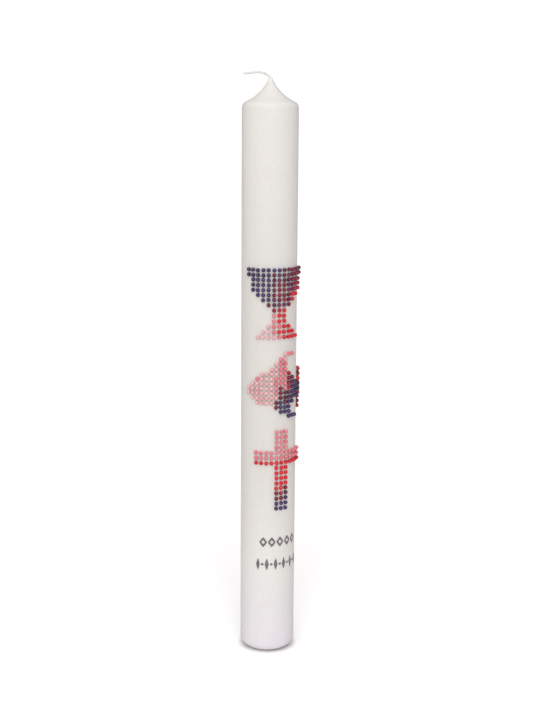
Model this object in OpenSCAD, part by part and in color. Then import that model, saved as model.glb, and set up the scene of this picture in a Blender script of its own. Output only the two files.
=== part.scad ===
// A tall dipped candle: a wax core in an outer coat of wax, with a wick bent over at the tip.
// Coloured ball-headed pins are pressed into the side as a chalice, a fish and a cross,
// and two rows of silver foil ornament sit below them.
// The origin is the centre of the base, +Z is up, and -Y is the middle of the decorated side.

/* [Candle] */
// Diameter over the outer coat
candle_d = 40; // [36:1:60]
// Height of the shoulder, where the side would meet the tip if it weren't rounded
shoulder_h = 401; // [330:1:500]
// Height from the shoulder to the top of the wax
tip_rise = 16.6; // [14:0.1:20]
// Radius of the hollow curve that runs from the shoulder up to the wick
tip_curve_r = 31; // [28:1:60]
// Radius of the rounded shoulder
shoulder_round = 5; // [3:0.25:6]
// Radius of the rounded edge at the base
base_round = 6.75; // [3:0.25:9]
// Thickness of the outer coat of wax
coat_t = 2.5; // [1:0.1:2.8]

/* [Wick] */
// Thickness of the waxed wick
wick_d = 1.6; // [1:0.1:2.4]
// Radius of the tight bend just above the wax
wick_bend_r = 1.8; // [1.4:0.1:6]
// How far the tight bend turns, in degrees
wick_bend_turn = 48; // [10:1:60]
// Radius of the wide sweep that follows
wick_sweep_r = 11.8; // [6:0.1:20]
// How far the sweep turns, in degrees
wick_sweep_turn = 42; // [20:1:60]
// Radius of the slow droop after the sweep
wick_droop_r = 25; // [10:1:60]
// How far the droop turns, in degrees
wick_droop_turn = 6.5; // [2:0.5:30]
// Length of the straight free end
wick_end_l = 7.6; // [3:0.1:20]
// Direction of the free end about the axis, in degrees; 0 is -X
wick_direction = -27; // [-180:1:180]

/* [Pins] */
// Diameter of a ball head
head_d = 3; // [2:0.1:3.4]
// How deep a head is pressed into the wax
head_sunk = 0.3; // [0:0.05:0.6]
// Diameter of a steel shank
shank_d = 0.6; // [0.4:0.05:0.8]
// Length of a shank below the middle of its head
shank_l = 9.5; // [6:0.5:12]
// Length of a shank's point
shank_point_l = 1.2; // [0.5:0.1:2]
// How far a shank reaches past the middle of its head
shank_in_head = 0.5; // [0.2:0.1:0.9]
// How far a hand-placed pin strays sideways or up and down
pin_stray = 0.16; // [0:0.02:0.2]

/* [Chalice] */
// Height of the top row of the chalice
chalice_top = 286; // [250:1:320]
// Distance between its pins
chalice_step = 3.88; // [3.7:0.01:4.2]
// Distance between the rows of the bowl, which sit closer than the rest
chalice_bowl_step = 3.51; // [3.5:0.01:4.2]
// Direction of its middle column, in degrees from -Y
chalice_turn = -7; // [-60:1:60]

/* [Fish] */
// Height of the top row of the fish
fish_top = 225.7; // [180:0.1:230]
// Distance between its pins
fish_step = 3.51; // [3.5:0.01:4]
// Direction of its middle column, in degrees from -Y
fish_turn = 7; // [-60:1:60]

/* [Cross] */
// Height of the top row of the cross
cross_top = 168.9; // [160:0.1:175]
// Distance between its pins
cross_step = 3.81; // [3.7:0.01:4.2]
// Direction of its middle column, in degrees from -Y
cross_turn = 0; // [-60:1:60]

/* [Foil ornament] */
// Thickness of the foil-faced wax sheet
foil_t = 0.3; // [0.1:0.05:0.6]
// Height of the middle of the upper row of open lozenges
open_row_h = 86; // [80:0.5:95]
// Number of open lozenges
open_count = 5; // [3:1:7]
// Width and height of an open lozenge
open_size = [5.6, 7.5]; // [4:0.1:8]
// Width of an open lozenge's border, measured along its width
open_border = 1.5; // [0.8:0.1:1.8]
// Distance between the middles of the open lozenges
open_step = 6.3; // [6:0.1:8]
// Height of the middle of the lower row
solid_row_h = 69; // [60:0.5:74]
// Number of solid lozenges, with a dot between each two
solid_count = 6; // [3:1:8]
// Width and height of a solid lozenge
solid_size = [2.8, 9]; // [2:0.1:10]
// Distance between the middles of the solid lozenges
solid_step = 6.6; // [6:0.1:8]
// Diameter of a dot
dot_d = 1.8; // [1:0.1:2.4]

/* [Hidden] */
$fn = 64;

candle_r = candle_d / 2;
wick_r = wick_d / 2;
shank_r = shank_d / 2;
tip_top = shoulder_h + tip_rise;
// The wax ends in a narrow ring around the wick
tip_ring_r = wick_r + 0.6;
// The middle of each pin head, from the candle's axis
head_reach = candle_r + head_d / 2 - head_sunk;
// Lets a cutting shape run past the surface that it opens
past = 1;

// The hollow curve passes through the tip's ring and the sharp shoulder
tip_chord = [candle_r - tip_ring_r, shoulder_h - tip_top];
tip_chord_l = norm(tip_chord);
tip_sag_l = sqrt(pow(tip_curve_r, 2) - pow(tip_chord_l / 2, 2));
tip_curve_centre = [
  (candle_r + tip_ring_r) / 2 - tip_chord[1] / tip_chord_l * tip_sag_l,
  (shoulder_h + tip_top) / 2 + tip_chord[0] / tip_chord_l * tip_sag_l
];
// The shoulder's rounding touches the side and the hollow curve
shoulder_x = candle_r - shoulder_round;
shoulder_centre = [
  shoulder_x,
  tip_curve_centre[1]
    - sqrt(pow(tip_curve_r + shoulder_round, 2) - pow(tip_curve_centre[0] - shoulder_x, 2))
];
shoulder_turn = atan2(
  tip_curve_centre[1] - shoulder_centre[1],
  tip_curve_centre[0] - shoulder_centre[0]
);

// A point of the wick's centreline is its place along X and Z, and its heading in degrees
// from +Z towards -X. A bend is worked out from the point where it starts.
function bend_points(start, radius, turn, steps) = [
  for (step = [1 : steps])
    let (heading = start[2] + turn * step / steps)
      [
        start[0] + radius * (cos(heading) - cos(start[2])),
        start[1] + radius * (sin(heading) - sin(start[2])),
        heading
      ]
];
wick_sides = 16;
wick_root = [0, tip_top, 0];
wick_bent = bend_points(wick_root, wick_bend_r, wick_bend_turn, 8);
wick_swept = bend_points(wick_bent[7], wick_sweep_r, wick_sweep_turn, 8);
wick_drooped = bend_points(wick_swept[7], wick_droop_r, wick_droop_turn, 3);
wick_last = wick_drooped[2];
wick_end = [
  wick_last[0] - wick_end_l * sin(wick_last[2]),
  wick_last[1] + wick_end_l * cos(wick_last[2]),
  wick_last[2]
];
wick_line = [
  [0, 0, 0],
  wick_root,
  each wick_bent,
  each wick_swept,
  each wick_drooped,
  wick_end
];

// Colours of the pin heads, and of the rest
navy = [0.20, 0.19, 0.43];
plum = [0.29, 0.14, 0.27];
burgundy = [0.37, 0.10, 0.18];
crimson = [0.59, 0.10, 0.20];
red = [0.84, 0.14, 0.18];
rose = [0.90, 0.43, 0.49];
blush = [0.96, 0.71, 0.71];
steel = [0.72, 0.73, 0.75];
silver = [0.62, 0.60, 0.60];
coat_wax = [0.93, 0.91, 0.89];
core_wax = [0.97, 0.95, 0.90];
cotton = [0.90, 0.89, 0.84];

// One letter is one pin: N navy, P plum, B burgundy, C crimson, R red, O rose, L blush
chalice_chart = [
  "NNNNNNNPPBPPB",
  "NNNNNBNBPPBBB",
  ".NNNNPPPPBBB.",
  ".NNNNPBBPPCB.",
  ".NNNNPBBPPCC.",
  "..NNNBBBBRR..",
  "...NNPPCPR...",
  "....BPPPB....",
  ".....BCR.....",
  ".....ORR.....",
  ".....ORR.....",
  "....LOORR....",
  "...LLORRRR...",
  "..LLLLORRRR.."
];
fish_chart = [
  "........LOO......",
  ".......OL........",
  "......LOO........",
  ".....LLOO........",
  "...LLLLOOC....CC.",
  "..OLLLOOOBP...BC.",
  ".LLLLLOOOBPN..RR.",
  "LLLLLLOBOCNNNNPC.",
  "LLLLLLOBPPNNNNBC.",
  ".LLLLLLBPPNNN.CC.",
  "..LLLLBNPNN....CC",
  "......BNNN.....BC",
  ".......NNN.....CC",
  ".........NNN....."
];
cross_chart = [
  "....OOO....",
  "....OOO....",
  "....OOO....",
  "....OOO....",
  "OOOOOOOOOOO",
  "OOOOOOOOOOO",
  "RRRRRRRRRRC",
  "....RRR....",
  "....RRR....",
  "....RRR....",
  "....RRR....",
  "....RRB....",
  "....BCP....",
  "....BBN....",
  "....NNN....",
  "....NNN...."
];

// A motif is its chart, top row's height, direction, pin distance, the number of close rows
// at the top and their distance, and the seed of its hand-placed look
chalice = [chalice_chart, chalice_top, chalice_turn, chalice_step, 7, chalice_bowl_step, 11];
fish = [fish_chart, fish_top, fish_turn, fish_step, 0, fish_step, 23];
cross = [cross_chart, cross_top, cross_turn, cross_step, 0, cross_step, 37];
motifs = [chalice, fish, cross];

function arc_degrees(length, radius) = length / radius * 180 / PI;

function row_height(motif, row) =
  motif[1] - min(row, motif[4]) * motif[5] - max(row - motif[4], 0) * motif[3];

function column_direction(motif, column) =
  motif[2] + (column - (len(motif[0][0]) - 1) / 2) * arc_degrees(motif[3], head_reach);

// Direction and height of each pin of one colour, or of all pins for the colour "any"
function pin_places(motif, colour = "any") =
  let (
    chart = motif[0],
    columns = len(chart[0]),
    stray = rands(-pin_stray, pin_stray, 2 * len(chart) * columns, motif[6])
  )
  [
    for (row = [0 : len(chart) - 1])
      for (column = [0 : columns - 1])
        let (letter = chart[row][column], index = 2 * (row * columns + column))
          if (letter != "." && (colour == "any" || letter == colour))
            [
              column_direction(motif, column) + arc_degrees(stray[index], head_reach),
              row_height(motif, row) + stray[index + 1]
            ]
  ];

// Turns the flat XY plane to face outwards from the axis, at a direction and a height
module on_side(direction, height) {
  rotate([0, 0, direction])
    translate([0, 0, height])
      rotate([90, 0, 0])
        children();
}

// The part of a wedge between two directions that lies outside a circle
module outside_round(centre, radius, from, to) {
  middle = (from + to) / 2;
  far = 3 * shoulder_round + base_round;
  translate(centre)
    difference() {
      polygon([
        [0, 0],
        far * [cos(from), sin(from)],
        far * [cos(middle), sin(middle)] * 1.5,
        far * [cos(to), sin(to)]
      ]);
      circle(radius);
    }
}

// Half of the candle's section, drawn the given distance inside its outer surface
module candle_section(inset) {
  difference() {
    translate([0, inset])
      square([candle_r - inset, tip_top - inset]);
    translate(tip_curve_centre)
      circle(tip_curve_r + inset);
    outside_round(shoulder_centre, shoulder_round - inset, 0, shoulder_turn);
    outside_round([candle_r - base_round, base_round], base_round - inset, -90, 0);
  }
}

// The channel that the wick fills, as a section
module wick_channel_section() {
  translate([0, -past])
    square([wick_r, tip_top + 2 * past]);
}

// A shank with its point, standing along Z with the middle of its head at the origin
module shank_form() {
  rotate_extrude()
    polygon([
      [0, -shank_l],
      [shank_r, shank_point_l - shank_l],
      [shank_r, shank_in_head],
      [0, shank_in_head]
    ]);
}

module at_pins(motif, colour = "any") {
  for (place = pin_places(motif, colour))
    on_side(place[0], place[1])
      translate([0, 0, head_reach])
        children();
}

module pin_heads(motif, colour) {
  at_pins(motif, colour)
    difference() {
      sphere(d = head_d);
      shank_form();
    }
}

module pin_shanks(motif) {
  color(steel)
    at_pins(motif)
      shank_form();
}

// A ring of points around one point of the wick's centreline
function wick_ring(point) = [
  for (side = [0 : wick_sides - 1])
    let (around = side * 360 / wick_sides)
      [
        point[0] + wick_r * cos(around) * cos(point[2]),
        wick_r * sin(around),
        point[1] + wick_r * cos(around) * sin(point[2])
      ]
];

// Index of a point of a ring, counted round to the first again
function ring_point(ring, side) = ring * wick_sides + side % wick_sides;

module lozenge(size) {
  polygon([[-size[0] / 2, 0], [0, -size[1] / 2], [size[0] / 2, 0], [0, size[1] / 2]]);
}

// Places flat shapes in a row around the side and wraps them onto it as foil
module foil_row(height, count, step) {
  for (index = [0 : count - 1])
    intersection() {
      translate([0, 0, height - candle_r])
        difference() {
          cylinder(r = candle_r + foil_t, h = candle_d);
          translate([0, 0, -past])
            cylinder(r = candle_r, h = candle_d + 2 * past);
        }
      on_side((index - (count - 1) / 2) * arc_degrees(step, candle_r), height)
        translate([0, 0, candle_r - past])
          linear_extrude(2 * past)
            children();
    }
}

module overdip_coat() {
  color(coat_wax)
    rotate_extrude()
      difference() {
        candle_section(0);
        candle_section(coat_t);
        wick_channel_section();
      }
}

module wax_core() {
  color(core_wax)
    rotate_extrude()
      difference() {
        candle_section(coat_t);
        wick_channel_section();
      }
}

module wick() {
  rings = len(wick_line);
  color(cotton)
    rotate([0, 0, wick_direction])
      polyhedron(
        points = [for (point = wick_line) each wick_ring(point)],
        faces = [
          [for (side = [0 : wick_sides - 1]) ring_point(0, side)],
          for (ring = [0 : rings - 2], side = [0 : wick_sides - 1])
            [
              ring_point(ring, side),
              ring_point(ring + 1, side),
              ring_point(ring + 1, side + 1),
              ring_point(ring, side + 1)
            ],
          [for (side = [wick_sides - 1 : -1 : 0]) ring_point(rings - 1, side)]
        ]
      );
}

module chalice_navy_heads() { color(navy) pin_heads(chalice, "N"); }
module chalice_plum_heads() { color(plum) pin_heads(chalice, "P"); }
module chalice_burgundy_heads() { color(burgundy) pin_heads(chalice, "B"); }
module chalice_crimson_heads() { color(crimson) pin_heads(chalice, "C"); }
module chalice_red_heads() { color(red) pin_heads(chalice, "R"); }
module chalice_rose_heads() { color(rose) pin_heads(chalice, "O"); }
module chalice_blush_heads() { color(blush) pin_heads(chalice, "L"); }
module chalice_pin_shanks() { pin_shanks(chalice); }

module fish_navy_heads() { color(navy) pin_heads(fish, "N"); }
module fish_plum_heads() { color(plum) pin_heads(fish, "P"); }
module fish_burgundy_heads() { color(burgundy) pin_heads(fish, "B"); }
module fish_crimson_heads() { color(crimson) pin_heads(fish, "C"); }
module fish_red_heads() { color(red) pin_heads(fish, "R"); }
module fish_rose_heads() { color(rose) pin_heads(fish, "O"); }
module fish_blush_heads() { color(blush) pin_heads(fish, "L"); }
module fish_pin_shanks() { pin_shanks(fish); }

module cross_navy_heads() { color(navy) pin_heads(cross, "N"); }
module cross_plum_heads() { color(plum) pin_heads(cross, "P"); }
module cross_burgundy_heads() { color(burgundy) pin_heads(cross, "B"); }
module cross_crimson_heads() { color(crimson) pin_heads(cross, "C"); }
module cross_red_heads() { color(red) pin_heads(cross, "R"); }
module cross_rose_heads() { color(rose) pin_heads(cross, "O"); }
module cross_pin_shanks() { pin_shanks(cross); }

module foil_open_lozenges() {
  color(silver)
    foil_row(open_row_h, open_count, open_step)
      difference() {
        lozenge(open_size);
        lozenge(open_size * (1 - 2 * open_border / open_size[0]));
      }
}

module foil_solid_lozenges() {
  color(silver)
    foil_row(solid_row_h, solid_count, solid_step)
      lozenge(solid_size);
}

module foil_dots() {
  color(silver)
    foil_row(solid_row_h, solid_count - 1, solid_step)
      circle(d = dot_d);
}

overdip_coat();
wax_core();
wick();
chalice_navy_heads();
chalice_plum_heads();
chalice_burgundy_heads();
chalice_crimson_heads();
chalice_red_heads();
chalice_rose_heads();
chalice_blush_heads();
chalice_pin_shanks();
fish_navy_heads();
fish_plum_heads();
fish_burgundy_heads();
fish_crimson_heads();
fish_red_heads();
fish_rose_heads();
fish_blush_heads();
fish_pin_shanks();
cross_navy_heads();
cross_plum_heads();
cross_burgundy_heads();
cross_crimson_heads();
cross_red_heads();
cross_rose_heads();
cross_pin_shanks();
foil_open_lozenges();
foil_solid_lozenges();
foil_dots();
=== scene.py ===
"""Looks of the pin-decorated candle: dipped wax, braided wick, glass pin heads and silver foil."""
import math

import bpy
import numpy as np
from mathutils import Matrix, Vector


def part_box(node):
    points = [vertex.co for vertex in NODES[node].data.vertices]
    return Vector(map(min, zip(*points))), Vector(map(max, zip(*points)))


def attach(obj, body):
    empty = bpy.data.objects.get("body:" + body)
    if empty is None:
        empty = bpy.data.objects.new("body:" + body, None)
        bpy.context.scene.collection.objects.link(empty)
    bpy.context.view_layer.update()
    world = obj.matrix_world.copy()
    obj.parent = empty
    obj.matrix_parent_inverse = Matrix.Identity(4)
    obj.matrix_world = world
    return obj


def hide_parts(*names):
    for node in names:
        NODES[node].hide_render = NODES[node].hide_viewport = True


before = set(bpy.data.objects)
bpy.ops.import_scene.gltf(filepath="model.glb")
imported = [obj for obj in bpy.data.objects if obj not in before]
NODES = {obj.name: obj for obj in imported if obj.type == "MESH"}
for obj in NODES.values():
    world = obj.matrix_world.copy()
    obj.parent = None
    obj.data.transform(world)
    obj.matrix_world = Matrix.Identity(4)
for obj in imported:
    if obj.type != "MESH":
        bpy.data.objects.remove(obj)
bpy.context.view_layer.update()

MM = 0.001
BODY = "root"


# ---------------------------------------------------------------- sizes, as in the CAD source
COAT_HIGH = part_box("overdip_coat")[1]
CANDLE_R = COAT_HIGH.x
TIP_TOP = COAT_HIGH.z
SHOULDER_H = 401 * MM
TIP_CURVE_R = 31 * MM
SHOULDER_ROUND = 5 * MM
BASE_ROUND = 6.75 * MM
COAT_T = 2.5 * MM
HEAD_R = 1.5 * MM
WICK_R = 0.8 * MM
TIP_RING_R = WICK_R + 0.6 * MM
# Radius and turn of the wick's tight bend, its wide sweep and its slow droop
WICK_BENDS = (
    (1.8 * MM, math.radians(48)),
    (11.8 * MM, math.radians(42)),
    (25 * MM, math.radians(6.5)),
)
WICK_END_L = 7.6 * MM
WICK_FREE_L = sum(radius * turn for radius, turn in WICK_BENDS) + WICK_END_L
# How far wax has crept along the wick, and where a lump of soot and wax sits on it
WICK_WAXED_L = 3.6 * MM
WICK_KNOT_AT = 5.6 * MM
WICK_DIRECTION = math.radians(-27)
FOIL_T = 0.3 * MM
OPEN_ROW_H, OPEN_COUNT, OPEN_STEP = 86 * MM, 5, 6.3 * MM
OPEN_SIZE, OPEN_BORDER = (5.6 * MM, 7.5 * MM), 1.5 * MM
SOLID_ROW_H, SOLID_COUNT, SOLID_STEP = 69 * MM, 6, 6.6 * MM
SOLID_SIZE = (2.8 * MM, 9 * MM)
DOT_D = 1.8 * MM


# ---------------------------------------------------------------- details of the surface
# The coat's mesh: points round it, and distance between rows among the pins and elsewhere
COAT_COLUMNS = 240
FINE_ROW, COARSE_ROW = 0.72 * MM, 6 * MM
# Amplitude of each of the dipped surface's two slow waves, and of its quicker ripples
WAVE_AMPLITUDE, RIPPLE_AMPLITUDE = 0.009 * MM, 0.006 * MM
# The collar of wax round a pin: its height, the distance of its crest, its width, and its reach
RIM_H, RIM_CREST_R, RIM_W, RIM_REACH = 0.16 * MM, 0.95 * MM, 0.42 * MM, 2.5 * MM
# The thinnest wax on the wick, and the shares of the waxed length where its rings lie
WAX_EDGE_T = 0.02 * MM
WAX_RING_SHARES = (0.04, 0.1, 0.18, 0.28, 0.4, 0.54, 0.7, 0.86, 1.0)
# The wick's mesh: points round it, rings inside the candle and rings outside
WICK_SIDES, WICK_BURIED_RINGS, WICK_FREE_RINGS = 30, 640, 150
# How long one turn of the braid is, and about half the length of the sooty lump
BRAID_PITCH = 5.2 * MM
KNOT_L = 0.45 * MM
# How far short of its cut end the wick starts to round off, and how long the rounding is
WICK_TIP_BACK, WICK_TIP_ROUND = 0.4 * MM, 0.3 * MM
# The frayed end's fibres, their points, and how far back in the wick they start
FIBRES, FIBRE_SIDES, FIBRE_POINTS, FIBRE_ROOT = 14, 6, 8, 1.1 * MM
# How sharp the corners of a lozenge are: 1 for sharp corners, 2 for an ellipse
LOZENGE_POWER = 1.12


# ---------------------------------------------------------------- camera
CAMERA_AZIMUTH = math.radians(-27.12)
CAMERA_DISTANCE = 923.8 * MM
CAMERA_HEIGHT = 401 * MM
CAMERA_PITCH = math.radians(11.212)
CAMERA_ROLL = math.radians(0.39)
CAMERA_LENS = 64.84
CAMERA_SHIFT = 0.00183

# Level directions from the candle: towards the camera, and to the picture's right
TO_CAMERA = Vector((math.sin(CAMERA_AZIMUTH), -math.cos(CAMERA_AZIMUTH), 0))
TO_RIGHT = Vector((math.cos(CAMERA_AZIMUTH), math.sin(CAMERA_AZIMUTH), 0))


def make_camera():
    back = TO_CAMERA * math.cos(CAMERA_PITCH) + Vector((0, 0, math.sin(CAMERA_PITCH)))
    level_up = back.cross(TO_RIGHT)
    right = TO_RIGHT * math.cos(CAMERA_ROLL) + level_up * math.sin(CAMERA_ROLL)
    up = back.cross(right)
    camera = bpy.data.objects.new("camera", bpy.data.cameras.new("camera"))
    bpy.context.scene.collection.objects.link(camera)
    camera.matrix_world = Matrix((
        (right.x, up.x, back.x, TO_CAMERA.x * CAMERA_DISTANCE),
        (right.y, up.y, back.y, TO_CAMERA.y * CAMERA_DISTANCE),
        (right.z, up.z, back.z, CAMERA_HEIGHT),
        (0, 0, 0, 1),
    ))
    camera.data.sensor_width = 36
    camera.data.lens = CAMERA_LENS
    camera.data.shift_x = CAMERA_SHIFT
    camera.data.clip_start = 0.01
    camera.data.clip_end = 100
    bpy.context.scene.camera = camera


# ---------------------------------------------------------------- node trees
class Tree:
    """A short way to build a node tree: every call adds one node and returns its output."""

    def __init__(self, owner):
        owner.use_nodes = True
        self.nodes = owner.node_tree.nodes
        self.links = owner.node_tree.links

    def node(self, kind, inputs=(), **settings):
        made = self.nodes.new(kind)
        for name, value in settings.items():
            setattr(made, name, value)
        for name, value in dict(inputs).items():
            if isinstance(value, bpy.types.NodeSocket):
                self.links.new(value, made.inputs[name])
            else:
                made.inputs[name].default_value = value
        return made

    def place(self):
        """The point's place in the row frame, in metres."""
        return self.node("ShaderNodeTexCoord").outputs["Object"]

    def stretched(self, place, scale):
        return self.node(
            "ShaderNodeMapping", {"Vector": place, "Scale": scale}
        ).outputs["Vector"]

    def noise(self, place, size, detail=2.0, roughness=0.5):
        """Noise from 0 to 1 whose lumps are about size metres across."""
        return self.node("ShaderNodeTexNoise", {
            "Vector": place, "Scale": 1 / size, "Detail": detail, "Roughness": roughness,
        }).outputs["Fac"]

    def cells(self, place, size):
        """Distance to the nearest of scattered points about size metres apart."""
        return self.node(
            "ShaderNodeTexVoronoi", {"Vector": place, "Scale": 1 / size}
        ).outputs["Distance"]

    def steps(self, value, low, high, to_low=0.0, to_high=1.0):
        """Value between low and high, taken smoothly to the range from to_low to to_high."""
        return self.node("ShaderNodeMapRange", {
            "Value": value, "From Min": low, "From Max": high, "To Min": to_low, "To Max": to_high,
        }, interpolation_type="SMOOTHSTEP").outputs["Result"]

    def math(self, operation, first, second=0.0):
        made = self.node("ShaderNodeMath", operation=operation)
        for socket, value in zip(made.inputs, (first, second)):
            if isinstance(value, bpy.types.NodeSocket):
                self.links.new(value, socket)
            else:
                socket.default_value = value
        return made.outputs["Value"]

    def mix(self, share, first, second):
        """A colour between first at 0 and second at 1."""
        made = self.node("ShaderNodeMix", data_type="RGBA")
        # Inputs 0, 6 and 7 of a mix node are its share and its two colours
        sockets = (made.inputs[0], made.inputs[6], made.inputs[7])
        for socket, value in zip(sockets, (share, first, second)):
            if isinstance(value, bpy.types.NodeSocket):
                self.links.new(value, socket)
            else:
                socket.default_value = value
        return made.outputs[2]

    def bump(self, height, depth, before=None):
        """A normal from a height of 0 to 1 that stands for depth metres."""
        inputs = {"Height": height, "Distance": depth, "Strength": 1.0}
        if before is not None:
            inputs["Normal"] = before
        return self.node("ShaderNodeBump", inputs).outputs["Normal"]

    def axis(self, place, letter):
        return self.node("ShaderNodeSeparateXYZ", {"Vector": place}).outputs[letter]


def srgb(red, green, blue):
    """A screen colour of 0 to 255 as the linear colour that a shader takes."""
    def linear(value):
        part = value / 255
        return part / 12.92 if part <= 0.04045 else ((part + 0.055) / 1.055) ** 2.4
    return (linear(red), linear(green), linear(blue), 1.0)


def new_material(name):
    material = bpy.data.materials.new(name)
    tree = Tree(material)
    return material, tree, tree.nodes["Principled BSDF"]


def join(tree, shader, **linked):
    for name, output in linked.items():
        tree.links.new(output, shader.inputs[name.replace("_", " ")])


# ---------------------------------------------------------------- materials
def coat_wax_material():
    material, tree, shader = new_material("dipped_white_wax")
    place = tree.place()
    cream, rosy, painted_lavender_light = srgb(239, 240, 235), srgb(239, 237, 233), srgb(239, 235, 239)
    drifts = tree.steps(tree.noise(tree.stretched(place, (1, 1, 0.35)), 26 * MM, 3), 0.35, 0.65)
    body = tree.mix(drifts, cream, rosy)
    height = tree.axis(place, "Z")
    # Painted light: a lavender cast of the light is painted into the wax towards the base
    body = tree.mix(tree.steps(height, 5 * MM, 75 * MM, 1.0, 0.0), body, painted_lavender_light)
    # Painted shade: the wax is painted a little darker over the middle of its height than at its top and
    # base
    rising = tree.steps(height, 50 * MM, 150 * MM)
    falling = tree.steps(height, 250 * MM, 395 * MM, 1.0, 0.0)
    painted_mid_shade = tree.math("MULTIPLY", rising, falling)
    body = tree.mix(painted_mid_shade, body, srgb(232, 230, 225))
    mottle = tree.steps(tree.noise(place, 1.6 * MM, 4, 0.6), 0.3, 0.7, 0.0, 0.16)
    body = tree.mix(mottle, body, srgb(214, 208, 202))
    gloss = tree.steps(tree.noise(place, 9 * MM, 3), 0.3, 0.7, 0.34, 0.46)
    waves = tree.bump(tree.noise(tree.stretched(place, (1, 1, 0.5)), 7 * MM, 2), 0.05 * MM)
    grain = tree.bump(tree.noise(place, 0.35 * MM, 3), 0.006 * MM, waves)
    # The wax is too thin to glow where it runs out along the wick
    glow = tree.steps(height, TIP_TOP - 5 * MM, TIP_TOP - 1 * MM, 0.7, 0.0)
    join(tree, shader, Base_Color=body, Roughness=gloss, Normal=grain, Subsurface_Weight=glow)
    shader.subsurface_method = "RANDOM_WALK"
    shader.inputs["Subsurface Radius"].default_value = (1.0, 0.85, 0.75)
    shader.inputs["Subsurface Scale"].default_value = 1.6 * MM
    shader.inputs["IOR"].default_value = 1.44
    return material


def core_wax_material():
    material, tree, shader = new_material("cast_core_wax")
    place = tree.place()
    crystals = tree.steps(tree.cells(place, 3 * MM), 0.0, 0.9)
    body = tree.mix(crystals, srgb(246, 240, 226), srgb(228, 219, 200))
    gloss = tree.steps(tree.noise(place, 5 * MM), 0.3, 0.7, 0.5, 0.65)
    frost = tree.bump(tree.noise(place, 0.8 * MM, 4), 0.03 * MM)
    join(tree, shader, Base_Color=body, Roughness=gloss, Normal=frost)
    return material


def wick_material():
    material, tree, shader = new_material("waxed_braided_cotton")
    place = tree.place()
    fibres = tree.noise(tree.stretched(place, (1, 1, 0.25)), 0.12 * MM, 3)
    body = tree.mix(tree.steps(fibres, 0.35, 0.65), srgb(240, 239, 235), srgb(220, 218, 213))
    smudges = tree.steps(tree.noise(place, 1.3 * MM, 2), 0.5, 0.8, 0.0, 0.3)
    body = tree.mix(smudges, body, srgb(190, 187, 182))
    knot = wick_ring(WICK_KNOT_AT, np.zeros(1), np.zeros(1))[0]
    away = tree.node("ShaderNodeVectorMath", {0: place, 1: tuple(knot)}, operation="DISTANCE")
    soot = tree.steps(away.outputs["Value"], 0.3 * MM, 1.1 * MM, 0.75, 0.0)
    body = tree.mix(soot, body, srgb(110, 106, 103))
    gloss = tree.steps(fibres, 0.3, 0.7, 0.42, 0.62)
    threads = tree.bump(fibres, 0.03 * MM)
    join(tree, shader, Base_Color=body, Roughness=gloss, Normal=threads)
    return material


def head_material(name, deep, light, tint, milky):
    """A bright bead under tinted lacquer, a little thicker on some heads than on others.

    Light crosses more of the lacquer towards a head's rim, so the rim is the deeper colour.
    """
    material, tree, shader = new_material(name)
    place = tree.place()
    per_head = tree.steps(tree.noise(place, 5 * MM, 1), 0.36, 0.64)
    body = tree.mix(per_head, deep, light)
    swirls = tree.steps(tree.noise(place, 0.9 * MM, 3), 0.35, 0.75, 0.0, 0.22)
    body = tree.mix(swirls, body, light)
    gloss = tree.steps(tree.noise(place, 0.5 * MM, 3), 0.3, 0.7, 0.07, 0.16)
    ripple = tree.bump(tree.noise(place, 0.7 * MM, 2), 0.01 * MM)
    join(tree, shader, Base_Color=body, Roughness=gloss, Normal=ripple)
    shader.inputs["IOR"].default_value = 1.5
    shader.subsurface_method = "RANDOM_WALK"
    shader.inputs["Subsurface Weight"].default_value = milky
    shader.inputs["Subsurface Radius"].default_value = (1.0, 0.7, 0.7)
    shader.inputs["Subsurface Scale"].default_value = 0.8 * MM
    shader.inputs["Coat Weight"].default_value = 1.0
    shader.inputs["Coat Roughness"].default_value = 0.05
    shader.inputs["Coat IOR"].default_value = 1.4
    shader.inputs["Coat Tint"].default_value = tint
    return material


def steel_material():
    material, tree, shader = new_material("drawn_pin_steel")
    place = tree.place()
    drawn = tree.noise(tree.stretched(place, (1, 1, 6)), 0.3 * MM, 3)
    body = tree.mix(tree.steps(drawn, 0.3, 0.7), srgb(206, 208, 212), srgb(160, 162, 168))
    gloss = tree.steps(drawn, 0.3, 0.7, 0.22, 0.4)
    join(tree, shader, Base_Color=body, Roughness=gloss, Normal=tree.bump(drawn, 0.004 * MM))
    shader.inputs["Metallic"].default_value = 1.0
    return material


def foil_material():
    material, tree, shader = new_material("silver_foil_on_wax_sheet")
    place = tree.place()
    rubbed = tree.steps(tree.noise(place, 1.1 * MM, 4), 0.4, 0.7)
    body = tree.mix(rubbed, srgb(160, 148, 149), srgb(120, 109, 111))
    gloss = tree.steps(tree.noise(place, 0.6 * MM, 3), 0.3, 0.7, 0.2, 0.38)
    creases = tree.bump(tree.cells(place, 0.8 * MM), 0.035 * MM)
    grain = tree.bump(tree.noise(place, 0.2 * MM, 2), 0.01 * MM, creases)
    join(tree, shader, Base_Color=body, Roughness=gloss, Normal=grain)
    shader.inputs["Metallic"].default_value = 1.0
    return material


# Each colour of head: its darker and its lighter shade, its lacquer's tint, and how milky it is
HEAD_SHADES = {
    "navy": (srgb(74, 53, 102), srgb(102, 80, 139), srgb(200, 190, 206), 0.0),
    "plum": (srgb(104, 36, 75), srgb(143, 67, 111), srgb(206, 176, 196), 0.0),
    "burgundy": (srgb(128, 27, 54), srgb(168, 57, 89), srgb(216, 170, 180), 0.0),
    "crimson": (srgb(175, 27, 65), srgb(197, 59, 98), srgb(236, 170, 180), 0.0),
    "red": (srgb(214, 21, 46), srgb(221, 49, 71), srgb(255, 170, 180), 0.0),
    "rose": (srgb(227, 170, 177), srgb(231, 206, 206), srgb(255, 190, 200), 0.5),
    "blush": (srgb(233, 204, 204), srgb(236, 222, 221), srgb(255, 226, 228), 0.7),
}


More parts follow.
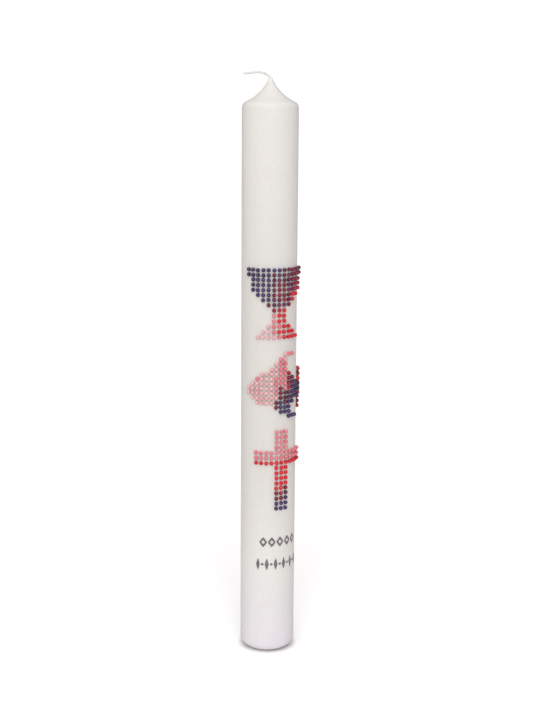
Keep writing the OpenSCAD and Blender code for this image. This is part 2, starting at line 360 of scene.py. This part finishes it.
# ---------------------------------------------------------------- mesh helpers
def new_piece(name, verts, faces, material, slot, *stands_for):
    mesh = bpy.data.meshes.new(name)
    mesh.from_pydata([tuple(point) for point in verts], [], [tuple(face) for face in faces])
    mesh.validate()
    mesh.materials.append(material)
    mesh.shade_smooth()
    piece = bpy.data.objects.new(name, mesh)
    bpy.context.scene.collection.objects.link(piece)
    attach(piece, BODY)
    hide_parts(*stands_for)
    return piece


def grid_faces(rows, columns, start=0, closed_rows=False):
    """Quads between rows of points. Each row is a closed ring of columns points."""
    row, column = np.meshgrid(
        np.arange(rows if closed_rows else rows - 1), np.arange(columns), indexing="ij"
    )
    next_row, next_column = (row + 1) % rows, (column + 1) % columns
    corners = [
        row * columns + column,
        row * columns + next_column,
        next_row * columns + next_column,
        next_row * columns + column,
    ]
    return (np.stack(corners, axis=-1).reshape(-1, 4) + start).tolist()


def head_centres():
    """The direction from the axis, as an angle, and the height of each pin head.

    The outermost parts of the heads are small caps that lie well apart, so their points
    that are close together belong to one head.
    """
    caps = []
    for name, node in NODES.items():
        if not name.endswith("_heads"):
            continue
        points = np.empty(len(node.data.vertices) * 3)
        node.data.vertices.foreach_get("co", points)
        points = points.reshape(-1, 3)
        reach = np.hypot(points[:, 0], points[:, 1])
        caps.append(points[reach > reach.max() - 0.25 * HEAD_R])
    left = np.concatenate(caps)
    centres = []
    while len(left):
        mine = np.linalg.norm(left - left[0], axis=1) < HEAD_R
        middle = left[mine].mean(axis=0)
        centres.append((math.atan2(middle[1], middle[0]), middle[2]))
        left = left[~mine]
    return np.array(centres)


# ---------------------------------------------------------------- wick's line
def wick_point(along):
    """Centre and heading of the wick at a length above the wax, in its own upright plane."""
    if along <= 0:
        return 0.0, TIP_TOP + along, 0.0
    x, z, heading = 0.0, TIP_TOP, 0.0
    for radius, turn in WICK_BENDS:
        turned = min(along / radius, turn)
        x += radius * (math.cos(heading + turned) - math.cos(heading))
        z += radius * (math.sin(heading + turned) - math.sin(heading))
        heading += turned
        along -= radius * turned
    return x - along * math.sin(heading), z + along * math.cos(heading), heading


def wick_ring(along, radii, around):
    """Points around the wick's line, in the row frame."""
    x, z, heading = wick_point(along)
    plane_x = x + radii * np.cos(around) * math.cos(heading)
    plane_y = radii * np.sin(around)
    height = z + radii * np.cos(around) * math.sin(heading)
    turned_x = plane_x * math.cos(WICK_DIRECTION) - plane_y * math.sin(WICK_DIRECTION)
    turned_y = plane_x * math.sin(WICK_DIRECTION) + plane_y * math.cos(WICK_DIRECTION)
    return np.stack([turned_x, turned_y, height], axis=-1)


# ---------------------------------------------------------------- coat of wax
def arc(centre, radius, start, end, steps):
    """Points of an arc as (distance from the axis, height), angles in radians."""
    angles = np.linspace(start, end, steps)
    return [(centre[0] + radius * math.cos(a), centre[1] + radius * math.sin(a)) for a in angles]


def tip_curve_centre():
    chord = Vector((CANDLE_R - TIP_RING_R, SHOULDER_H - TIP_TOP))
    sag = math.sqrt(TIP_CURVE_R ** 2 - (chord.length / 2) ** 2)
    return (
        (CANDLE_R + TIP_RING_R) / 2 - chord.y / chord.length * sag,
        (SHOULDER_H + TIP_TOP) / 2 + chord.x / chord.length * sag,
    )


def side_heights(low, high, rows_low, rows_high, fine, coarse):
    """Heights between low and high, close together where the pins sit."""
    below = np.arange(low, rows_low, coarse)[1:]
    among = np.arange(rows_low, rows_high, fine)
    above = np.arange(rows_high, high, coarse)
    return np.concatenate([below, among, above])


def shell_line(inset, pins):
    """Half of the candle's section, inset from its outer surface, from the base to the tip.

    Pins is None, or the lowest and highest place of close rows, and the fine and coarse row.
    """
    tip = tip_curve_centre()
    curve_r = TIP_CURVE_R + inset
    shoulder_x = CANDLE_R - SHOULDER_ROUND
    drop = math.sqrt((TIP_CURVE_R + SHOULDER_ROUND) ** 2 - (tip[0] - shoulder_x) ** 2)
    shoulder = (shoulder_x, tip[1] - drop)
    turn = math.atan2(tip[1] - shoulder[1], tip[0] - shoulder[0])
    base = (CANDLE_R - BASE_ROUND, BASE_ROUND)
    last_r = WICK_R if inset else TIP_RING_R
    last = math.pi + math.acos((tip[0] - last_r) / curve_r)
    flat = [(r, inset) for r in np.linspace(WICK_R, base[0], 6)[:-1]]
    if pins:
        side = side_heights(base[1], shoulder[1], *pins)
    else:
        side = np.linspace(base[1], shoulder[1], 12)[1:-1]
    return (
        flat
        + arc(base, BASE_ROUND - inset, -math.pi / 2, 0, 11)
        + [(CANDLE_R - inset, z) for z in side]
        + arc(shoulder, SHOULDER_ROUND - inset, 0, turn, 9)
        + arc(tip, curve_r, turn + math.pi, last, 26)[1:]
    )


def unevenness(angle, height):
    """How far the dipped surface lies inside a true cylinder, from slow waves of wax."""
    slow = np.sin(2 * angle + 9 * height / 0.1) + np.sin(3 * angle - 5 * height / 0.1 + 1.3)
    quick = np.sin(7 * angle + 17 * height / 0.1 + 0.4) * np.sin(23 * height / 0.1 + 2 * angle)
    return WAVE_AMPLITUDE * (2 + slow) + RIPPLE_AMPLITUDE * (1 + quick)


def pressed_rims(angle, height, pins):
    """How far wax stands up in a low collar round each pin, where the pin pushed it aside."""
    rise = np.zeros_like(angle)
    for pin_angle, pin_height in pins:
        rows = np.abs(height[:, 0] - pin_height) < RIM_REACH
        turn = (angle[rows] - pin_angle + math.pi) % (2 * math.pi) - math.pi
        away = np.hypot(turn * CANDLE_R, height[rows] - pin_height)
        collar = RIM_H * np.exp(-((away - RIM_CREST_R) / RIM_W) ** 2)
        rise[rows] = np.maximum(rise[rows], collar)
    return rise


def make_coat(material):
    """The overdipped coat: a thin shell of wax with a channel for the wick at its tip and base."""
    pins = head_centres()
    pins_low, pins_high = pins[:, 1].min() - 3 * MM, pins[:, 1].max() + 3 * MM
    columns = COAT_COLUMNS
    around = np.linspace(0, 2 * math.pi, columns, endpoint=False)
    outer = np.array(shell_line(0, (pins_low, pins_high, FINE_ROW, COARSE_ROW)))
    inner = np.array(shell_line(COAT_T, None))[::-1]

    angle, height = np.meshgrid(around, outer[:, 1])[0], outer[:, 1:2] * np.ones(columns)
    radius = outer[:, 0:1] * np.ones(columns)
    # The unevenness fades out on the base and at the tip
    wall = np.clip((radius - 0.6 * CANDLE_R) / (0.3 * CANDLE_R), 0, 1)
    wall *= np.clip(height / BASE_ROUND, 0, 1)
    radius = radius - unevenness(angle, height) * wall + pressed_rims(angle, height, pins)
    skin = np.stack([radius * np.cos(angle), radius * np.sin(angle), height], axis=-1)

    # Wax has crept along the wick in a thinning collar
    collar, channel = [], []
    for share in WAX_RING_SHARES:
        along = share * WICK_WAXED_L
        thick = WAX_EDGE_T + (TIP_RING_R - WICK_R - WAX_EDGE_T) * (1 - share) ** 2.2
        collar.append(wick_ring(along, np.full(columns, WICK_R + thick), around - WICK_DIRECTION))
        channel.insert(0, wick_ring(along, np.full(columns, WICK_R), around - WICK_DIRECTION))
    lining = [
        np.stack([r * np.cos(around), r * np.sin(around), np.full(columns, z)], axis=-1)
        for r, z in inner
    ]
    rings = list(skin) + collar + channel + lining
    verts = np.concatenate(rings)
    faces = grid_faces(len(rings), columns, closed_rows=True)
    return new_piece("overdipped_wax", verts, faces, material, "coat_wax", "overdip_coat")


# ---------------------------------------------------------------- wick
def make_wick(material):
    """A three-strand cotton wick, stiff with wax, frayed a little where it was cut."""
    sides = WICK_SIDES
    around = np.linspace(0, 2 * math.pi, sides, endpoint=False)
    buried = np.linspace(-TIP_TOP, 0, WICK_BURIED_RINGS)[:-1]
    shown = np.linspace(0, WICK_FREE_L - WICK_TIP_BACK, WICK_FREE_RINGS)
    rings = []
    for along in np.concatenate([buried, shown]):
        strands = 0.5 + 0.5 * np.cos(3 * (around - 2 * math.pi * along / BRAID_PITCH))
        threads = 0.5 + 0.5 * np.cos(9 * (around + 2 * math.pi * along / (0.7 * BRAID_PITCH)))
        lumps = 0.5 + 0.5 * math.sin(along / MM * 2.1) * math.sin(along / MM * 0.83 + 1)
        knot = 0.14 * math.exp(-((along - WICK_KNOT_AT) / KNOT_L) ** 2)
        braid = 0.84 + 0.09 * strands ** 0.7 + 0.03 * threads + 0.04 * lumps + knot
        # The braid shows only where the wax stops
        bare = min(max((along - 0.8 * WICK_WAXED_L) / (0.4 * WICK_WAXED_L), 0), 1)
        radii = WICK_R * (0.99 * (1 - bare) + braid * bare)
        rings.append(wick_ring(along, radii, around))
    for share in (0.97, 0.8, 0.45):
        along = WICK_FREE_L - WICK_TIP_BACK + WICK_TIP_ROUND * (1 - share)
        rings.append(wick_ring(along, np.full(sides, 0.9 * WICK_R * share), around))
    verts = list(np.concatenate(rings))
    faces = grid_faces(len(rings), sides)
    faces.append(list(range(sides))[::-1])
    last = (len(rings) - 1) * sides
    faces.append(list(range(last, last + sides)))
    add_frayed_ends(verts, faces)
    return new_piece("braided_wick", verts, faces, material, "wick_cotton", "wick")


def add_frayed_ends(verts, faces):
    """Short cotton fibres that stand out of the wick's cut end."""
    rng = np.random.default_rng(5)
    around = np.linspace(0, 2 * math.pi, FIBRE_SIDES, endpoint=False)
    x, z, heading = wick_point(WICK_FREE_L)
    ahead = np.array([-math.sin(heading), 0, math.cos(heading)])
    aside = np.array([math.cos(heading), 0, math.sin(heading)])
    level = np.array([0, 1.0, 0])
    spin = np.array([
        [math.cos(WICK_DIRECTION), -math.sin(WICK_DIRECTION), 0],
        [math.sin(WICK_DIRECTION), math.cos(WICK_DIRECTION), 0],
        [0, 0, 1],
    ])
    root = np.array([x, 0, z]) - ahead * FIBRE_ROOT
    for _ in range(FIBRES):
        lean = rng.uniform(0, 2 * math.pi)
        out = aside * math.cos(lean) + level * math.sin(lean)
        start = rng.uniform(0.25, 0.75) * WICK_R
        length = rng.uniform(0.9, 1.5) * MM
        spread = rng.uniform(0.05, 0.4) * MM
        thick = rng.uniform(0.07, 0.11) * MM
        first = len(verts)
        for step in np.linspace(0, 1, FIBRE_POINTS):
            middle = root + ahead * length * step + out * (start + spread * step ** 2)
            radius = thick * (1 - 0.7 * step)
            for angle in around:
                point = middle + radius * (math.cos(angle) * aside + math.sin(angle) * level)
                verts.append(spin @ point)
        last = first + (FIBRE_POINTS - 1) * FIBRE_SIDES
        faces.extend(grid_faces(FIBRE_POINTS, FIBRE_SIDES, first))
        faces.append([first + side for side in range(FIBRE_SIDES)][::-1])
        faces.append([last + side for side in range(FIBRE_SIDES)])


# ---------------------------------------------------------------- foil ornament
def lozenge_edge(size, steps=16):
    """Points around a lozenge's outline, its corners a little rounded."""
    edge = []
    for side in range(4):
        for step in range(steps):
            share = step / steps
            corner, after = side * math.pi / 2, (side + 1) * math.pi / 2
            x = math.cos(corner) * (1 - share) + math.cos(after) * share
            y = math.sin(corner) * (1 - share) + math.sin(after) * share
            reach = (abs(x) ** LOZENGE_POWER + abs(y) ** LOZENGE_POWER) ** (1 / LOZENGE_POWER)
            edge.append((x / reach * size[0] / 2, y / reach * size[1] / 2))
    return edge


def round_edge(size, steps=48):
    angles = np.linspace(0, 2 * math.pi, steps, endpoint=False)
    return [(size / 2 * math.cos(a), size / 2 * math.sin(a)) for a in angles]


def add_relief(verts, faces, edge, hole, direction, height, seed):
    """One piece of foil-faced wax sheet pressed onto the side: soft edges, a slightly dented face.

    The hole is the share of the outline that is cut out, or 0 for a whole piece.
    """
    rng = np.random.default_rng(seed)
    phase = rng.uniform(0, 6, 4)
    # Across the face: its share of the way to the outline, and its share of the thickness
    rise = [(0.0, 0.0), (0.015, 0.62), (0.06, 0.88), (0.14, 0.97)]
    span = 1 - hole
    across = [(1 - span * a, t) for a, t in rise]
    across += [(1 - span * a, 1.0) for a in (0.26, 0.38, 0.5, 0.62, 0.74)]
    if hole:
        across += [(hole + span * a, t) for a, t in rise[::-1]]
    else:
        across += [(1 - span * a, 1.0) for a in (0.86, 0.95)]
    first = len(verts)
    for share, thick in across:
        for x, y in edge:
            px, py = x * share, y * share
            dents = math.sin(px / MM * 2.3 + phase[0]) * math.sin(py / MM * 1.7 + phase[1])
            rising = math.sin((px + py) / MM * 4.1 + phase[2])
            falling = math.sin((px - py) / MM * 3.3 + phase[3])
            creases = rising * falling
            level = thick * FOIL_T * (0.9 + 0.06 * dents + 0.04 * creases)
            verts.append(on_side(direction, height, px, py, level))
    count = len(edge)
    rows = len(across)
    if hole:
        faces.extend(grid_faces(rows, count, first, closed_rows=True))
        return
    faces.extend(grid_faces(rows, count, first))
    verts.append(on_side(direction, height, 0, 0, FOIL_T * 0.9))
    top = len(verts) - 1
    inner = first + (rows - 1) * count
    for step in range(count):
        faces.append([inner + step, inner + (step + 1) % count, top])
    faces.append([first + step for step in range(count)][::-1])


def on_side(direction, height, x, y, level):
    """A point of a flat shape wrapped onto the candle's side; direction is an angle from -Y."""
    angle = direction + x / CANDLE_R - math.pi / 2
    radius = CANDLE_R + level
    return (radius * math.cos(angle), radius * math.sin(angle), height + y)


def make_foil_row(name, material, node, edge, hole, height, count, step, seed):
    verts, faces = [], []
    for index in range(count):
        direction = (index - (count - 1) / 2) * step / CANDLE_R
        add_relief(verts, faces, edge, hole, direction, height, seed + index)
    return new_piece(name, verts, faces, material, "silver_foil", node)


# ---------------------------------------------------------------- light and floor
# What the floor gives back to the candle, and what the camera sees: nearly white, with a
# painted contact shadow where something stands within its reach
FLOOR_BOUNCE = (0.85, 0.85, 0.86, 1)
FLOOR_SEEN = (1.36, 1.36, 1.36, 1)
FLOOR_SEEN_DIM = (1.33, 1.33, 1.33, 1)
FLOOR_PAINTED_SHADOW = (0.40, 0.40, 0.40, 1)
PAINTED_SHADOW_REACH = 5 * MM


def make_floor():
    """A pale floor, as a photographer bleaches it: it shows more light than it bounces.

    Where something stands close over it, a contact shadow is painted on the floor as the camera sees it.
    """
    size, cells = 6.0, 24
    mesh = bpy.data.meshes.new("floor")
    points = [
        (size * (i / cells - 0.5), size * (j / cells - 0.5), 0)
        for j in range(cells + 1) for i in range(cells + 1)
    ]
    row = cells + 1
    corners = [j * row + i for j in range(cells) for i in range(cells)]
    quads = [(first, first + 1, first + row + 1, first + row) for first in corners]
    mesh.from_pydata(points, [], quads)
    floor = bpy.data.objects.new("floor", mesh)
    bpy.context.scene.collection.objects.link(floor)
    material, tree, shader = new_material("pale_floor")
    seen = tree.node("ShaderNodeLightPath").outputs["Is Camera Ray"]
    paper = tree.mix(tree.noise(tree.place(), 4 * MM, 2), FLOOR_SEEN, FLOOR_SEEN_DIM)
    # Painted contact shadow: ambient occlusion darkens the floor's colour for camera rays
    painted_shadow_ao = tree.node("ShaderNodeAmbientOcclusion", {"Distance": PAINTED_SHADOW_REACH}, samples=16).outputs["AO"]
    shown = tree.mix(painted_shadow_ao, FLOOR_PAINTED_SHADOW, paper)
    diffuse = tree.node("ShaderNodeBsdfDiffuse", {"Color": tree.mix(seen, FLOOR_BOUNCE, shown)})
    tree.links.new(diffuse.outputs["BSDF"], tree.nodes["Material Output"].inputs["Surface"])
    tree.nodes.remove(shader)
    mesh.materials.append(material)


def add_sun(name, towards, share, spread, colour):
    """A soft round light, far off: share is the light on a surface that faces it."""
    light = bpy.data.lights.new(name, "SUN")
    light.color = colour
    light.energy = share * math.pi
    light.angle = spread
    lamp = bpy.data.objects.new(name, light)
    bpy.context.scene.collection.objects.link(lamp)
    lamp.rotation_mode = "QUATERNION"
    lamp.rotation_quaternion = Vector(towards).to_track_quat("Z", "Y")


# Light of the room in front of the candle and behind it; the room's walls are a little rosy
FRONT_WORLD, BACK_WORLD = 0.82, 0.3
# The least that the camera sees of the room, so that the picture's background is white
SEEN_WORLD = 1.05
ROSY_LIGHT = (1.0, 0.86, 0.83)
ROSIER_LIGHT = (1.0, 0.80, 0.82)


def make_world():
    """A room that is bright low down in front of the candle, and white behind it in the picture."""
    world = bpy.data.worlds.new("studio")
    bpy.context.scene.world = world
    tree = Tree(world)
    direction = tree.node("ShaderNodeTexCoord").outputs["Generated"]
    facing = tree.node(
        "ShaderNodeVectorMath", {0: direction, 1: tuple(-TO_CAMERA)}, operation="DOT_PRODUCT"
    ).outputs["Value"]
    low_down = tree.steps(tree.axis(direction, "Z"), 0.0, 0.7, 1.0, 0.0)
    front_to_back = tree.steps(facing, -0.35, 0.35, FRONT_WORLD, BACK_WORLD)
    strength = tree.math("MULTIPLY", low_down, front_to_back)
    rightward = tree.node(
        "ShaderNodeVectorMath", {0: direction, 1: tuple(TO_RIGHT)}, operation="DOT_PRODUCT"
    ).outputs["Value"]
    wall = tree.mix(tree.steps(rightward, 0.0, 0.8), (*ROSY_LIGHT, 1), (*ROSIER_LIGHT, 1))
    colour = tree.mix(tree.steps(facing, -1.0, -0.15), (1, 1, 1, 1), wall)
    seen = tree.node("ShaderNodeLightPath").outputs["Is Camera Ray"]
    strength = tree.math("MAXIMUM", strength, tree.math("MULTIPLY", seen, SEEN_WORLD))
    background = tree.nodes["Background"]
    tree.links.new(tree.mix(seen, colour, (1, 1, 1, 1)), background.inputs["Color"])
    tree.links.new(strength, background.inputs["Strength"])


# ---------------------------------------------------------------- the candle
make_camera()
bpy.context.scene.view_settings.view_transform = "Standard"

make_coat(coat_wax_material())
make_wick(wick_material())
foil = foil_material()
make_foil_row("embossed_open_lozenges", foil, "foil_open_lozenges", lozenge_edge(OPEN_SIZE),
              1 - 2 * OPEN_BORDER / OPEN_SIZE[0], OPEN_ROW_H, OPEN_COUNT, OPEN_STEP, 20)
make_foil_row("embossed_solid_lozenges", foil, "foil_solid_lozenges", lozenge_edge(SOLID_SIZE),
              0, SOLID_ROW_H, SOLID_COUNT, SOLID_STEP, 40)
make_foil_row("embossed_dots", foil, "foil_dots", round_edge(DOT_D),
              0, SOLID_ROW_H, SOLID_COUNT - 1, SOLID_STEP, 60)

core = core_wax_material()
steel = steel_material()
heads = {name: head_material(name + "_glass", *shades) for name, shades in HEAD_SHADES.items()}
for name, node in NODES.items():
    if name == "wax_core":
        node.material_slots[0].material = core
    elif name.endswith("_pin_shanks"):
        node.material_slots[0].material = steel
    elif name.endswith("_heads"):
        node.material_slots[0].material = heads[name.split("_")[1]]

make_floor()
add_sun("front_softbox", TO_CAMERA + Vector((0, 0, 0.55)), 0.40, math.radians(40), (1, 1, 1))
add_sun("top_softbox", (0, 0, 1), 0.50, math.radians(110), (1, 1, 1))
add_sun("left_fill", Vector((0, 0, 0.27)) - TO_RIGHT, 0.075, math.radians(90), ROSY_LIGHT)
make_world()
